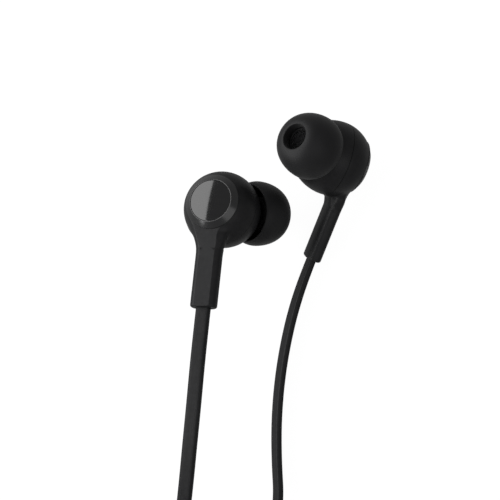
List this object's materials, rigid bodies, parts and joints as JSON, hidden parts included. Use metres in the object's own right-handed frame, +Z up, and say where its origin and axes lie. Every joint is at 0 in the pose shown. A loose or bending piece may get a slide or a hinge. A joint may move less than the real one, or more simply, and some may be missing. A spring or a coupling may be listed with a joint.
{
  "type": "wired in-ear earphones",
  "caption": "Pair of wired in-ear earphones with domed caps, flat stems, silicone ear tips, and a flat cord wound in a coil with a splitter and a 3.5 mm plug.",
  "frame": {"origin": "middle of the two earpieces' bounding box, on the table they lie on", "axes": "+Z up from the table; +Y towards the top of the picture, away from the cord; +X to its right"},
  "size_m": [0.0529, 0.1403, 0.0234],
  "materials": {
    "housing": "fine matte",
    "trim_ring": "satin gloss",
    "gloss_disc": "piano gloss",
    "silicone": "soft satin",
    "steel_mesh": "woven",
    "driver_frame": "moulded",
    "steel": "plain",
    "magnet": "nickel plated",
    "board": "solder mask",
    "copper": "enamelled copper wire",
    "film": "polymer film",
    "stop": "moulded",
    "cable": "matte elastomer",
    "cable_mould": "matte moulding",
    "strap": "matte",
    "gold": "plated, polished",
    "insulator": "moulded"
  },
  "bodies": {
    "earphones": {"right_rear_housing": "housing", "right_front_housing": "housing", "right_cap_ring": "trim_ring", "right_cap_disc": "gloss_disc", "right_nozzle_mesh": "steel_mesh", "right_driver_frame": "driver_frame", "right_driver_yoke": "steel", "right_driver_magnet": "magnet", "right_driver_top_plate": "steel", "right_terminal_board": "board", "right_surround": "film", "right_cable_stop": "stop", "right_leads": "copper", "left_rear_housing": "housing", "left_front_housing": "housing", "left_cap_ring": "trim_ring", "left_cap_disc": "gloss_disc", "left_nozzle_mesh": "steel_mesh", "left_driver_frame": "driver_frame", "left_driver_yoke": "steel", "left_driver_magnet": "magnet", "left_driver_top_plate": "steel", "left_terminal_board": "board", "left_surround": "film", "left_cable_stop": "stop", "left_leads": "copper", "right_cord": "cable", "right_cord_coil": "cable", "right_cord_end": "cable", "left_cord": "cable", "left_cord_coil": "cable", "left_cord_end": "cable", "main_cord_start": "cable", "main_cord_coil": "cable", "main_cord_end": "cable", "splitter": "cable_mould", "cord_tie": "strap", "plug_grip": "cable_mould", "plug_sleeve": "gold", "plug_ring": "gold", "plug_tip": "gold", "plug_insulators": "insulator"},
    "right_tip": {"right_ear_tip": "silicone"},
    "right_moving_coil": {"right_voice_coil": "copper", "right_diaphragm": "film"},
    "left_tip": {"left_ear_tip": "silicone"},
    "left_moving_coil": {"left_voice_coil": "copper", "left_diaphragm": "film"}
  },
  "joints": [
    {"name": "right_ear_tip_pull", "type": "slide", "parent": "earphones", "child": "right_tip", "axis": [0.7623, -0.0506, -0.6452], "range_m": [0, 0.005]},
    {"name": "left_ear_tip_pull", "type": "slide", "parent": "earphones", "child": "left_tip", "axis": [-0.5836, 0.2828, 0.7612], "range_m": [0, 0.005]},
    {"name": "right_diaphragm_stroke", "type": "slide", "parent": "earphones", "child": "right_moving_coil", "axis": [-0.3425, 0.2674, 0.9007], "range_m": [-0.00015, 0.00015], "stiffness_N_per_m": 100},
    {"name": "left_diaphragm_stroke", "type": "slide", "parent": "earphones", "child": "left_moving_coil", "axis": [0.8997, -0.2892, -0.327], "range_m": [-0.00015, 0.00015], "stiffness_N_per_m": 100}
  ]
}
